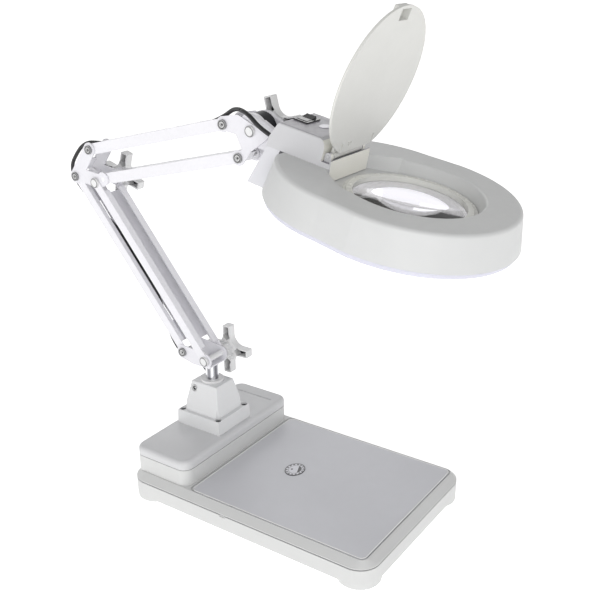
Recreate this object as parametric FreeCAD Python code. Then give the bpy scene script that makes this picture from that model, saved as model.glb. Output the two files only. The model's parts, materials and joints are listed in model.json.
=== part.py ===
"""Magnifying lamp: a weighted tray base with a work panel, a swivelling post, two
parallelogram arms made of channel bars, and a ring-lit magnifier head with a flip-up
lens cover.

Lengths are millimetres, +Z is up, +Y runs from the work panel towards the post and +X
is the side of the clamp knobs. The shapes are drawn about the middle of the base and
moved by REACH_SHIFT when they are written, which puts the origin on the table under
the middle of the whole lamp.
"""
import FreeCAD, Part
import math
import os

V = FreeCAD.Vector

REACH_SHIFT = -49.55       # moves the base's middle so that the origin is under the lamp

# Base
BASE_X = 120.0             # half width
BASE_Y = 177.5             # half depth
BASE_CORNER = 26.0
TRAY_BOTTOM = 6.0
SEAM_Z = 27.0              # tray to cover
SHOULDER_Z = 28.5          # foot of the cover's sloping edge
COVER_SLOPE = 9.6
COVER_TOP = 35.5
PANEL_X = 108.0
PANEL_GAP = 1.4
BADGE_R = (14.8, 12.2)
PANEL_FRONT = -165.0
PANEL_REAR = 82.5
BOX_X = 108.8
BOX_FRONT = 88.0
BOX_REAR = 174.4
BOX_SEAM_Z = 57.5          # rear box to its lid
BOX_TOP_Z = 69.2
FOOT_XY = (94.0, 151.5)
FOOT_R = 25.7
PAD_R = 20.0               # rubber pad let into each foot
PAD_THICK = 2.5
WALL = 2.5

# Pedestal and post
POST_Y = 132.0
FLANGE_TOP = 88.5
PEDESTAL_TOP = 128.5
POST_R = 8.5
POST_TOP = 152.2
PEDESTAL_SCREW = (27.0, 29.8)    # screw offsets from the post axis
PINCH = (146.5, 119.6)     # pinch screw, beside the post

# Pivots of the arms as (y, z)
B0 = (128.5, 162.0)
A0 = (166.0, 165.4)
LOWER_LENGTH = 272.0
LOWER_ANGLE = 50.9
C1 = (308.1, 415.2)
D1 = (287.1, 379.1)
UPPER_LENGTH = 230.6
UPPER_ANGLE = 166.1
SHEET = 1.6                # bracket plates
PLATE_IN = 15.0            # inner face of every bracket plate
PLATE_OUT = PLATE_IN + SHEET
INNER_BAR = 14.8           # half width of the bars that run between the plates
OUTER_BAR = 18.0           # half width of the bar that straddles the plates
BAR_WALL = 1.2
LOWER_DEPTH = 12.0
UPPER_DEPTH = 14.0
SCREW_R = 3.0
BOLT_R = 4.0
GAP = 0.06                 # running clearance on the radius

# Head: drawn level, then tipped about +X at the middle of the lens well
HEAD_Y = -151.4
HEAD_Z = 427.8
HEAD_TILT = 11.5
HEAD_DEPTH = 38.0
TILT_P = 200.4             # tilt axis in the head's own plane
TILT_Q = -0.9
WELL_R = 77.0              # at the mouth
WELL_FLOOR_R = 72.0
WELL_DEPTH = 16.0
LENS_R = 63.5
LENS_Z = -20.5
LENS_SAG = 5.7
LENS_EDGE = 2.5
LENS_SEAT = 0.45           # room for the bulge inside the seats
TUBE_RING_R = 107.0
TUBE_R = 8.0
TUBE_Z = -27.0
RING_P = 2.0
LID_P = 86.0               # hinge axis of the lens cover
LID_Q = 10.5
LID_OPEN = 79.8            # stands open by this angle
LID_RX = 77.5
LID_RY = 81.5
SWITCH = (4.0, 142.5)

KNOB_TIP = 33.5
KNOB_ARM = 5.6             # half width of an arm
KNOB_SCOOP = 15.0          # hollow between two arms
KNOB_FRONT = 27.5
KNOB_BACK = 39.5
CABLE_R = 2.5


def save(name, shape):
    """Write one sub-part in the lamp's frame."""
    moved = shape.copy()
    moved.translate(V(0, REACH_SHIFT, 0))
    moved.exportStep("parts/" + name + ".step")
    box = moved.BoundBox
    print("%-22s solids %d valid %s volume %9.0f  y %.1f %.1f  z %.1f %.1f" % (
        name, len(moved.Solids), moved.isValid(), moved.Volume,
        box.YMin, box.YMax, box.ZMin, box.ZMax))


def block(x0, x1, y0, y1, z0, z1):
    return Part.makeBox(x1 - x0, y1 - y0, z1 - z0, V(x0, y0, z0))


def rod_x(r, x0, x1, y, z):
    return Part.makeCylinder(r, x1 - x0, V(x0, y, z), V(1, 0, 0))


def rod_z(r, z0, z1, x, y):
    return Part.makeCylinder(r, z1 - z0, V(x, y, z0), V(0, 0, 1))


def slab_x(points, x0, x1):
    """Polygon of (y, z) points, thick along X."""
    corners = [V(x0, y, z) for y, z in points]
    return Part.Face(Part.makePolygon(corners + corners[:1])).extrude(V(x1 - x0, 0, 0))


def slab_y(points, y0, y1):
    """Polygon of (x, z) points, thick along Y."""
    corners = [V(x, y0, z) for x, z in points]
    return Part.Face(Part.makePolygon(corners + corners[:1])).extrude(V(0, y1 - y0, 0))


def slab_z(points, z0, z1):
    """Polygon of (x, y) points, thick along Z."""
    corners = [V(x, y, z0) for x, y in points]
    return Part.Face(Part.makePolygon(corners + corners[:1])).extrude(V(0, 0, z1 - z0))


def fuse(shapes):
    return shapes[0].multiFuse(shapes[1:]).removeSplitter()


def cut(shape, tools):
    for tool in tools:
        shape = shape.cut(tool)
    return shape


def upright_edges(shape):
    return [e for e in shape.Edges if abs(e.Vertexes[0].Z - e.Vertexes[-1].Z) > 1
            and abs(e.Vertexes[0].X - e.Vertexes[-1].X) < 0.01
            and abs(e.Vertexes[0].Y - e.Vertexes[-1].Y) < 0.01]


def edges_at(shape, z):
    return [e for e in shape.Edges if all(abs(v.Z - z) < 0.01 for v in e.Vertexes)]


def round_block(hx, y0, y1, z0, z1, r):
    """Block centred on X with rounded upright edges."""
    shape = block(-hx, hx, y0, y1, z0, z1)
    return shape.makeFillet(r, upright_edges(shape))


def corners(x, y, centre_y=0.0):
    return [(sx * x, centre_y + sy * y) for sx in (-1, 1) for sy in (-1, 1)]


def polar(start, angle, u, v=0.0):
    """Point u along and v square to a bar that leaves start at an angle."""
    c, s = math.cos(math.radians(angle)), math.sin(math.radians(angle))
    return (start[0] + u * c - v * s, start[1] + u * s + v * c)


A1 = polar(A0, LOWER_ANGLE, LOWER_LENGTH)
B1 = polar(B0, LOWER_ANGLE, LOWER_LENGTH)
C2 = polar(C1, UPPER_ANGLE, UPPER_LENGTH)
D2 = polar(D1, UPPER_ANGLE, UPPER_LENGTH)
E = polar((HEAD_Y, HEAD_Z), HEAD_TILT, TILT_P, TILT_Q)


# ---------------------------------------------------------------- base

def base_tray():
    outer = round_block(BASE_X, -BASE_Y, BASE_Y, TRAY_BOTTOM, SEAM_Z, BASE_CORNER)
    outer = outer.makeFillet(1.5, edges_at(outer, TRAY_BOTTOM))
    inner = round_block(BASE_X - WALL, WALL - BASE_Y, BASE_Y - WALL,
                        TRAY_BOTTOM + WALL, SEAM_Z + 1, BASE_CORNER - WALL)
    feet = [rod_z(FOOT_R, 1.0, TRAY_BOTTOM + 1, x, y) for x, y in corners(*FOOT_XY)]
    seam = round_block(BASE_X + 1, -BASE_Y - 1, BASE_Y + 1, SEAM_Z - 0.9, SEAM_Z + 1, 27)
    seam = seam.cut(round_block(BASE_X - 1.1, 1.1 - BASE_Y, BASE_Y - 1.1,
                                SEAM_Z - 1, SEAM_Z + 2, BASE_CORNER - 1.1))
    seats = [rod_z(PAD_R + 0.1, 0, PAD_THICK, x, y) for x, y in corners(*FOOT_XY)]
    tray = fuse([outer] + feet).cut(inner)
    holes = [rod_z(2.55, 0, 12, x, y) for x, y in corners(70, 120)]
    inlet = Part.makeCylinder(6.0, 10, V(60, BASE_Y - 5, 17), V(0, 1, 0))
    notch = block(-BASE_X - 1, -BASE_X + 1.2, 20, 28, SEAM_Z - 3, SEAM_Z + 1)
    return cut(tray, seats + holes + [seam, inlet, notch])


def rubber_feet():
    pads = [rod_z(PAD_R, 0, PAD_THICK, x, y) for x, y in corners(*FOOT_XY)]
    return Part.makeCompound(pads)


def base_screws():
    """Screws up through the tray into the cover's pillars."""
    screws = []
    for x, y in corners(70, 120):
        head = rod_z(4.5, 3.5, 5.95, x, y)
        slot = block(x - 3.2, x + 3.2, y - 0.5, y + 0.5, 3.4, 4.3)
        screws.append(fuse([head, rod_z(2.5, 5.95, 20, x, y)]).cut(slot))
    return Part.makeCompound(screws)


def round_wire(hx, hy, z, r):
    """Rounded rectangle about the middle of the base."""
    body = round_block(hx, -hy, hy, z, z + 20, r)
    return [f for f in body.Faces if f.BoundBox.ZMax < z + 0.1][0].OuterWire


def base_cover():
    skirt = round_block(BASE_X, -BASE_Y, BASE_Y, SEAM_Z, SHOULDER_Z, BASE_CORNER)
    slope = Part.makeLoft([round_wire(BASE_X, BASE_Y, SHOULDER_Z, BASE_CORNER),
                           round_wire(BASE_X - COVER_SLOPE, BASE_Y - COVER_SLOPE,
                                      COVER_TOP, 9.4)], True, True)
    plinth = round_block(BOX_X, BOX_FRONT, BOX_REAR, SEAM_Z, COVER_TOP, 14)
    outer = fuse([skirt, slope, plinth])
    inner = round_block(BASE_X - WALL, WALL - BASE_Y, BASE_Y - WALL,
                        SEAM_Z - 1, 31.4, BASE_CORNER - WALL)
    inner = inner.makeFillet(4.0, edges_at(inner, 31.4))
    shell = outer.cut(inner)
    recess = round_block(PANEL_X + PANEL_GAP, PANEL_FRONT - PANEL_GAP, BOX_FRONT - 2,
                         33.6, 40, 8.6)
    pillars = [rod_z(6, 12, 32, x, y) for x, y in corners(70, 120)]
    bores = [rod_z(2.55, 11, 22, x, y) for x, y in corners(70, 120)]
    return cut(fuse([shell] + pillars), [recess] + bores)


def work_panel():
    panel = round_block(PANEL_X, PANEL_FRONT, PANEL_REAR, 33.65, 35.7, 7.5)
    panel = panel.makeFillet(0.6, edges_at(panel, 35.7))
    return panel.cut(badge_disc(BADGE_R[0] + 0.1, BADGE_R[1] + 0.1, 35.1, 36, 0, 1))


def badge_disc(rx, ry, z0, z1, x, y):
    """Low elliptical disc lying flat."""
    wire = Part.Wire(Part.Ellipse(V(x, y, z0), rx, ry).toShape())
    return Part.Face(wire).extrude(V(0, 0, z1 - z0))


def panel_badge():
    return badge_disc(*BADGE_R, 35.15, 36.3, 0, 1)


def rear_box():
    outer = round_block(BOX_X, BOX_FRONT, BOX_REAR, COVER_TOP + 0.05, BOX_SEAM_Z, 14)
    inner = round_block(BOX_X - WALL, BOX_FRONT + WALL, BOX_REAR - WALL,
                        COVER_TOP - 1, BOX_SEAM_Z + 1, 14 - WALL)
    seam = round_block(BOX_X + 1, BOX_FRONT - 1, BOX_REAR + 1, BOX_SEAM_Z - 0.8,
                       BOX_SEAM_Z + 1, 15)
    seam = seam.cut(round_block(BOX_X - 1, BOX_FRONT + 1, BOX_REAR - 1, BOX_SEAM_Z - 1,
                                BOX_SEAM_Z + 2, 13))
    return cut(outer, [inner, seam])


def rear_box_lid():
    outer = round_block(BOX_X, BOX_FRONT, BOX_REAR, BOX_SEAM_Z + 0.05, BOX_TOP_Z, 14)
    outer = outer.makeFillet(5.7, edges_at(outer, BOX_TOP_Z))
    inner = round_block(BOX_X - WALL, BOX_FRONT + WALL, BOX_REAR - WALL,
                        BOX_SEAM_Z - 1, BOX_TOP_Z - WALL, 14 - WALL)
    holes = [rod_z(2.1, 60, 72, x, y) for x, y in
             corners(*PEDESTAL_SCREW, POST_Y)]
    slot = block(84, 86, 100, 160, BOX_TOP_Z - 0.8, BOX_TOP_Z + 1)
    return cut(outer, [inner, slot] + holes)


def ballast_weight():
    """Iron slab that keeps the lamp upright, lying on the tray's floor."""
    slab = round_block(60, -145, 65, TRAY_BOTTOM + WALL + 0.05, 27, 8)
    return slab.makeFillet(2.0, edges_at(slab, 27))


def lamp_choke():
    """Laminated choke of the ring tube with its end brackets."""
    z0 = TRAY_BOTTOM + WALL + 0.05
    core = block(-50, -10, 95, 165, z0 + 1.2, 31)
    feet = block(-54, -6, 88, 172, z0, z0 + 1.2)
    return fuse([core, feet])


def cable_inlet():
    """Grommet in the rear wall of the tray."""
    bush = Part.makeCylinder(5.9, 8, V(60, BASE_Y - 4.5, 17), V(0, 1, 0))
    lip = Part.makeCylinder(9.0, 2, V(60, BASE_Y + 0.05, 17), V(0, 1, 0))
    bore = Part.makeCylinder(3.4, 20, V(60, BASE_Y - 8, 17), V(0, 1, 0))
    return fuse([bush, lip]).cut(bore)


def post_wire(hx, hy, z):
    """Rectangle about the post's axis."""
    return Part.makePolygon([V(x, POST_Y + y, z) for x, y in
                             ((-hx, -hy), (hx, -hy), (hx, hy), (-hx, hy), (-hx, -hy))])


def pedestal():
    """Tapered tower on a flange; its rear is split and drawn together by one screw."""
    flange = Part.makeLoft([post_wire(33.0, 35.0, BOX_TOP_Z + 0.05),
                            post_wire(32.3, 34.4, FLANGE_TOP)], True, True)
    flange = flange.makeFillet(0.8, edges_at(flange, FLANGE_TOP))
    tower = Part.makeLoft([post_wire(27.0, 29.0, FLANGE_TOP - 1),
                           post_wire(17.6, 21.0, PEDESTAL_TOP)], True, True)
    tower = tower.makeFillet(1.6, [e for e in tower.Edges
                                   if e.BoundBox.ZMax > PEDESTAL_TOP - 0.1])
    body = fuse([flange, tower])
    spots = corners(*PEDESTAL_SCREW, POST_Y)
    flutes = [rod_z(5.2, FLANGE_TOP, 135, x, y) for x, y in spots]
    pockets = [rod_z(4.3, 83, 90, x, y) for x, y in spots]
    holes = [rod_z(2.1, 60, 90, x, y) for x, y in spots]
    bore = rod_z(POST_R + GAP, 82, 135, 0, POST_Y)
    split = block(-0.8, 0.8, POST_Y + 5, POST_Y + 40, 106, 135)
    recess = rod_x(4.7, -40, -17.2, *PINCH)
    tap = rod_x(2.05, -18, 14, *PINCH)
    return cut(body, flutes + pockets + holes + [bore, split, recess, tap])


def pedestal_screws():
    screws = []
    for x, y in corners(*PEDESTAL_SCREW, POST_Y):
        head = rod_z(3.9, 83.05, 86.2, x, y)
        cross = fuse([block(x - 2.2, x + 2.2, y - 0.5, y + 0.5, 85.2, 87),
                      block(x - 0.5, x + 0.5, y - 2.2, y + 2.2, 85.2, 87)])
        screws.append(fuse([head, rod_z(2.0, 61, 83.05, x, y)]).cut(cross))
    return Part.makeCompound(screws)


def post_collar():
    top = PEDESTAL_TOP + 3.0
    ring = rod_z(15.3, PEDESTAL_TOP + 0.05, top, 0, POST_Y)
    ring = ring.makeFillet(1.0, edges_at(ring, top))
    return ring.cut(rod_z(POST_R + GAP, 120, 140, 0, POST_Y))


def lock_screw():
    """Pinch screw that draws the split tower together on the post."""
    head = rod_x(4.2, -19.2, -17.25, *PINCH)
    socket = rod_x(2.0, -20, -18.2, *PINCH)
    stem = rod_x(2.0, -17.25, 13.8, *PINCH)
    return fuse([head, stem]).cut(socket)


# ---------------------------------------------------------------- swivel

def post():
    tube = rod_z(POST_R, 82.1, POST_TOP, 0, POST_Y)
    bore = rod_z(4.6, 80, POST_TOP + 1, 0, POST_Y)
    notch = block(-4.2, 4.2, POST_Y, POST_Y + 12, PEDESTAL_TOP + 3.5, POST_TOP + 1)
    return cut(tube, [bore, notch])


def plate_pair(points, lobes, lobe_r, holes):
    """The two side plates of a bracket: outline, round lobes and drilled holes."""
    plates = []
    for x0 in (-PLATE_OUT, PLATE_IN):
        x1 = x0 + SHEET
        pieces = [slab_x(points, x0, x1)] + [rod_x(lobe_r, x0, x1, *c) for c in lobes]
        drills = [rod_x(r, x0 - 1, x1 + 1, *c) for c, r in holes]
        plates.append(cut(fuse(pieces), drills))
    return plates


def post_bracket():
    """U-shaped bracket on the post: a floor and two plates."""
    outline = [(122, 152.25), (150, 152.25), (171.5, 157.4), (167.2, 175.1),
               (127.8, 171.7), (118.9, 163)]
    holes = [(A0, SCREW_R + 0.05), (B0, BOLT_R + 0.05)]
    plates = plate_pair(outline, (A0, B0), 9.7, holes)
    floor = block(-PLATE_OUT, PLATE_OUT, 122, 149, POST_TOP + 0.05, 154)
    return fuse(plates + [floor])


def hexagon_x(radius, x0, x1, y, z):
    points = [(y + radius * math.cos(math.radians(60 * k)),
               z + radius * math.sin(math.radians(60 * k))) for k in range(6)]
    return slab_x(points, x0, x1)


def pivot_screw(y, z):
    """Shoulder screw through both plates, socket head near, hexagon nut far."""
    head = rod_x(5.8, -PLATE_OUT - 2.4, -PLATE_OUT - 0.02, y, z)
    stem = rod_x(SCREW_R, -PLATE_OUT - 0.02, PLATE_OUT + 0.02, y, z)
    nut = hexagon_x(5.4, PLATE_OUT + 0.02, PLATE_OUT + 3.2, y, z)
    socket = hexagon_x(2.9, -PLATE_OUT - 3, -PLATE_OUT - 1.2, y, z)
    return fuse([head, stem, nut]).cut(socket)


def clamp_bolt(y, z, face):
    """Carriage bolt that its knob tightens; face is where its head bears."""
    head = rod_x(6.6, -face - 2.8, -face - 0.05, y, z)
    head = head.makeFillet(1.2, [e for e in head.Edges if e.CenterOfMass.x < -face - 2.7])
    return fuse([head, rod_x(BOLT_R, -face - 0.05, 33, y, z)])


def knob(y, z, face, phase):
    """Four-armed clamp knob with flat tips, hollow behind its arms, on a ribbed hub."""
    hub = rod_x(10.0, face, KNOB_FRONT + 1, 0, 0)
    ribs = []
    for k in range(4):
        rib = block(face + 1.2, KNOB_FRONT + 1, -11.4, 11.4, -1.0, 1.0)
        rib.rotate(V(0, 0, 0), V(1, 0, 0), 22.5 + 45 * k)
        ribs.append(rib)
    side = KNOB_ARM + KNOB_SCOOP
    star = [block(KNOB_FRONT, KNOB_BACK, -side, side, -side, side)]
    for k in range(2):
        arms = block(KNOB_FRONT, KNOB_BACK, -KNOB_TIP, KNOB_TIP, -KNOB_ARM, KNOB_ARM)
        arms.rotate(V(0, 0, 0), V(1, 0, 0), 90 * k)
        star.append(arms)
    scoops = [rod_x(KNOB_SCOOP, KNOB_FRONT - 1, KNOB_BACK + 1, *c) for c in corners(side, side)]
    grip = cut(fuse(star), scoops)
    tips = [e for e in grip.Edges if e.BoundBox.XLength > 5
            and math.hypot(e.CenterOfMass.y, e.CenterOfMass.z) > KNOB_TIP - 1]
    grip = grip.makeFillet(1.6, tips)
    rim = [e for e in grip.Edges if e.BoundBox.XMin > KNOB_BACK - 0.01]
    grip = grip.makeFillet(1.5, rim)
    pockets = []
    for k in range(4):
        inset = KNOB_ARM - 1.9
        points = [(12.6, 0), (17, inset + 2.2), (22, inset), (KNOB_TIP - 2, inset),
                  (KNOB_TIP - 2, -inset), (22, -inset), (17, -inset - 2.2)]
        pocket = slab_x(points, KNOB_FRONT - 1, KNOB_BACK - 2.2)
        pocket.rotate(V(0, 0, 0), V(1, 0, 0), 90 * k)
        pockets.append(pocket)
    body = cut(fuse([grip, hub] + ribs), pockets)
    body = body.cut(rod_x(BOLT_R + 0.05, face - 1, 34, 0, 0))
    body.rotate(V(0, 0, 0), V(1, 0, 0), phase)
    body.translate(V(0, y, z))
    return body


# ---------------------------------------------------------------- arms

def side_plate(length, radius, x0, x1):
    """Bar side with round ends about its two pivots."""
    return fuse([block(x0, x1, 0, length, -radius, radius),
                 rod_x(radius, x0, x1, 0, 0), rod_x(radius, x0, x1, length, 0)])


def channel(length, half, depth, lip, web, lips, slots, bores):
    """Lipped channel bar along +Y: web below, lips above, cable slots in the web."""
    low = -depth / 2
    high = depth / 2
    inner = half - BAR_WALL
    pieces = [side_plate(length, high, -half, -inner), side_plate(length, high, inner, half),
              block(-half, half, web[0], length - web[1], low, low + BAR_WALL),
              block(-half, -lip, lips[0], length - lips[1], high - BAR_WALL, high),
              block(lip, half, lips[0], length - lips[1], high - BAR_WALL, high)]
    tools = [block(-3.6, 3.6, y0, y1, low - 1, low + 3) for y0, y1 in slots]
    tools += [rod_x(bores[0], -half - 1, half + 1, 0, 0),
              rod_x(bores[1], -half - 1, half + 1, length, 0)]
    return cut(fuse(pieces), tools)


def laid(shape, start, angle):
    """Turn a bar drawn along +Y to its angle and move it to its first pivot."""
    shape.rotate(V(0, 0, 0), V(1, 0, 0), angle)
    shape.translate(V(0, start[0], start[1]))
    return shape


def rear_lower_bar():
    bar = channel(LOWER_LENGTH, INNER_BAR, LOWER_DEPTH, 8.5, (14, 14), (14, 14),
                  [(44, 98), (174, 232)], (SCREW_R + GAP, SCREW_R + GAP))
    return laid(bar, A0, LOWER_ANGLE)


def front_lower_bar():
    bar = channel(LOWER_LENGTH, OUTER_BAR, LOWER_DEPTH, 8.5, (30, 16), (16, 16),
                  [], (BOLT_R + GAP, BOLT_R + GAP))
    return laid(bar, B0, LOWER_ANGLE)


def upper_top_bar():
    bar = channel(UPPER_LENGTH, INNER_BAR, UPPER_DEPTH, 11.5, (0, 0), (12, 12),
                  [(-8, 20), (184, 240)], (SCREW_R + GAP, SCREW_R + GAP))
    return laid(bar, C1, UPPER_ANGLE)


def upper_bottom_bar():
    bar = channel(UPPER_LENGTH, INNER_BAR, UPPER_DEPTH, 11.5, (0, 0), (12, 12),
                  [], (SCREW_R + GAP, SCREW_R + GAP))
    return laid(bar, D1, UPPER_ANGLE)


def strip(points, x0, x1):
    """Folded flange: a thin strip that follows a line of (y, z) points."""
    pieces = []
    for (y0, z0), (y1, z1) in zip(points, points[1:]):
        run = math.hypot(y1 - y0, z1 - z0)
        ny, nz = (z0 - z1) / run * SHEET, (y1 - y0) / run * SHEET
        pieces.append(slab_x([(y0, z0), (y1, z1), (y1 + ny, z1 + nz), (y0 + ny, z0 + nz)],
                             x0, x1))
    return pieces


def elbow_plates():
    outline = [(344.8, 381.8), (315.6, 420.4), (301.0, 409.0), (316.5, 387.7),
               (296.6, 385.1), (284.5, 387.7), (281.5, 371.7), (299.0, 364.2),
               (315.3, 369.2), (331.5, 369.5)]
    holes = [(A1, SCREW_R + 0.05), (C1, SCREW_R + 0.05), (D1, SCREW_R + 0.05),
             (B1, BOLT_R + 0.05)]
    return plate_pair(outline, (A1, B1, C1, D1), 9.2, holes)


def elbow_plate_near():
    flange = strip([(306.9, 403.2), (316.9, 388.8)], -PLATE_OUT, -5)
    flange += strip([(315.4, 387.5), (300.6, 385.6)], -PLATE_OUT, -5)
    return fuse([elbow_plates()[0]] + flange)


def elbow_plate_far():
    return elbow_plates()[1]


def elbow_rivet():
    """Flush rivet under the front lower bar's end."""
    return rod_x(SCREW_R, -PLATE_OUT, PLATE_OUT, *D1)


def head_plates():
    outline = [(87.8, 479.3), (62.1, 483.6), (19.7, 464.7), (22.5, 459.9), (45.3, 443.9),
               (55.4, 430.4), (70.5, 430.2), (58.5, 444.6), (65.9, 460.8), (79.5, 463.2)]
    holes = [(C2, SCREW_R + 0.05), (D2, SCREW_R + 0.05), (E, BOLT_R + 0.05)]
    return plate_pair(outline, (C2, D2), 9.2, holes)


def head_plate_near():
    flange = strip([(46.3, 442.6), (54.2, 432.0)], -PLATE_OUT, -5)
    return fuse([head_plates()[0]] + flange)


def head_plate_far():
    return head_plates()[1]


# ---------------------------------------------------------------- head

def tipped(shape):
    """Move a shape drawn in the head's own plane to its place."""
    shape.rotate(V(0, 0, 0), V(1, 0, 0), HEAD_TILT)
    shape.translate(V(0, HEAD_Y, HEAD_Z))
    return shape


def egg(front_r, rear_r, rear_c, flat, z):
    """Closed outline: front half circle, straight sides, rear arc cut by a flat."""
    end = math.sqrt(rear_r ** 2 - (flat - rear_c) ** 2)
    turn = math.atan2(flat - rear_c, end) / 2
    mid = (rear_r * math.cos(turn), rear_c + rear_r * math.sin(turn))
    edges = [Part.Arc(V(-front_r, 0, z), V(0, -front_r, z), V(front_r, 0, z)).toShape(),
             Part.makeLine(V(front_r, 0, z), V(rear_r, rear_c, z)),
             Part.Arc(V(rear_r, rear_c, z), V(mid[0], mid[1], z), V(end, flat, z)).toShape(),
             Part.makeLine(V(end, flat, z), V(-end, flat, z)),
             Part.Arc(V(-end, flat, z), V(-mid[0], mid[1], z), V(-rear_r, rear_c, z)).toShape(),
             Part.makeLine(V(-rear_r, rear_c, z), V(-front_r, 0, z))]
    return Part.Wire(edges)


def egg_solid(inset_top, z_top, inset_low, z_low):
    """Housing body between two heights, its drafted wall moved in by the insets."""
    rings = []
    for inset, z in ((inset_top, z_top), (inset_low, z_low)):
        t = -z / HEAD_DEPTH
        rings.append(egg(115 + 8 * t - inset, 111 + 8 * t - inset, 40 + t,
                         139 + 11 * t - inset, z))
    return Part.makeLoft(rings, True, True)


def well_wire(r, z, rear):
    """Lens well outline: round in front, widening to a flat rear wall."""
    side = (r * math.cos(math.radians(9)), r * math.sin(math.radians(9)))
    shift = r - WELL_R
    points = [side, (68 + shift, 50), (44.5, rear), (-44.5, rear), (-68 - shift, 50),
              (-side[0], side[1])]
    edges = [Part.Arc(V(-side[0], side[1], z), V(0, -r, z), V(side[0], side[1], z)).toShape()]
    edges += [Part.makeLine(V(a[0], a[1], z), V(b[0], b[1], z))
              for a, b in zip(points, points[1:])]
    return Part.Wire(edges)


def well_funnel(grow, top, low):
    """The well narrows from its mouth to its floor."""
    slope = (WELL_R - WELL_FLOOR_R) / WELL_DEPTH
    rings = [well_wire(WELL_R + grow + slope * z, z, 80 + grow) for z in (top, low)]
    return Part.makeLoft(rings, True, True)


def head_housing():
    outer = egg_solid(0, 0, 0, -HEAD_DEPTH)
    outer = outer.makeFillet(5.0, edges_at(outer, 0))
    inner = egg_solid(WALL, -WALL, WALL, -HEAD_DEPTH - 0.01)
    shell = fuse([outer.cut(inner), well_funnel(2.0, -1.0, -WELL_DEPTH - 2)])
    shell = shell.cut(well_funnel(0.0, 2.0, -WELL_DEPTH))
    mouth = [e for e in edges_at(shell, 0) if e.BoundBox.YMax < 79
             and math.hypot(e.CenterOfMass.x, e.CenterOfMass.y) < 80]
    shell = shell.makeFillet(3.0, mouth)
    return tipped(shell.cut(rod_z(70.1, -30, -10, 0, 0)))


def lens_barrel():
    body = fuse([rod_z(70, -43, -14.4, 0, 0), rod_z(71.6, -15.95, -14.4, 0, 0)])
    return tipped(cut(body, [rod_z(61.5, -50, 0, 0, 0),
                             rod_z(LENS_R + 0.1, LENS_Z - LENS_EDGE / 2 - LENS_SEAT, 0, 0, 0)]))


def magnifying_lens():
    """Biconvex glass: two shallow spheres within a cylinder."""
    edge = LENS_EDGE / 2 - 0.03
    top = edge + LENS_SAG
    radius = (LENS_R ** 2 + LENS_SAG ** 2) / (2 * LENS_SAG)
    lens = rod_z(LENS_R, -edge - LENS_SAG, edge + LENS_SAG, 0, 0)
    for side in (-1, 1):
        centre = V(0, 0, side * (top - radius))
        lens = lens.common(Part.makeSphere(radius, centre, V(1, 0, 0)))
    lens.translate(V(0, 0, LENS_Z))
    return tipped(lens)


def lens_ring():
    """Retaining ring pushed into the barrel on top of the lens."""
    sleeve = rod_z(LENS_R, LENS_Z + LENS_EDGE / 2 + LENS_SEAT, -14.3, 0, 0)
    lip = rod_z(68.0, -14.35, -12.6, 0, 0)
    lip = lip.makeFillet(0.8, edges_at(lip, -12.6))
    return tipped(fuse([sleeve, lip]).cut(rod_z(61.2, -40, 0, 0, 0)))


def circular_tube():
    """Glass ring with a 1 mm wall, open where the connector takes its ends."""
    middle = V(0, RING_P, TUBE_Z)
    ring = Part.makeTorus(TUBE_RING_R, TUBE_R, middle)
    bore = Part.makeTorus(TUBE_RING_R, TUBE_R - 1, middle)
    return tipped(cut(ring, [block(-12, 12, 80, 140, -60, 0), bore]))


def tube_connector():
    """Plastic cap that joins the tube's ends, with its four-pin socket block."""
    block_in = block(-11.95, 11.95, 96, 121, -37, -18)
    return tipped(fuse([block_in, block(-9, 9, 106, 122, -18, -3)]))


def tube_clips():
    """Spring clips that hang the tube from the housing's roof."""
    clips = []
    for k in range(3):
        hoop = Part.makeCylinder(TUBE_R + 1.5, 10, V(TUBE_RING_R, -5, TUBE_Z), V(0, 1, 0))
        hole = Part.makeCylinder(TUBE_R + 0.3, 12, V(TUBE_RING_R, -6, TUBE_Z), V(0, 1, 0))
        mouth = block(TUBE_RING_R - 5, TUBE_RING_R + 5, -6, 6, TUBE_Z - 12, TUBE_Z)
        stem = block(102, 104, -5, 5, TUBE_Z + 7, -WALL - 0.05)
        clip = cut(fuse([hoop, stem]), [hole, mouth])
        clip.rotate(V(0, 0, 0), V(0, 0, 1), -90 + 120 * k)
        clip.translate(V(0, RING_P, 0))
        clips.append(clip)
    return tipped(Part.makeCompound(clips))


def diffuser():
    """Translucent ring that closes the housing below the tube."""
    outer = egg_solid(2.0, -HEAD_DEPTH - 0.05, 4.0, -44.5)
    outer = outer.makeFillet(2.5, edges_at(outer, -44.5))
    pocket = egg_solid(5.0, -HEAD_DEPTH + 1, 6.6, -42)
    return tipped(cut(outer, [pocket, rod_z(70.1, -60, 0, 0, 0)]))


NECK_OUT = [(78, 5), (91, 5), (91, 17), (92.3, 21.8), (95.4, 25.4), (100, 27.2),
            (153, 27.2), (160.6, 9.3), (160.5, 0.02), (78, 0.02)]
NECK_IN = [(80.2, -1), (80.2, 2.8), (93.2, 2.8), (93.2, 17), (97, 23.2), (101, 25), (151.6, 25),
           (158.4, 9), (158.3, -1)]


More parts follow.
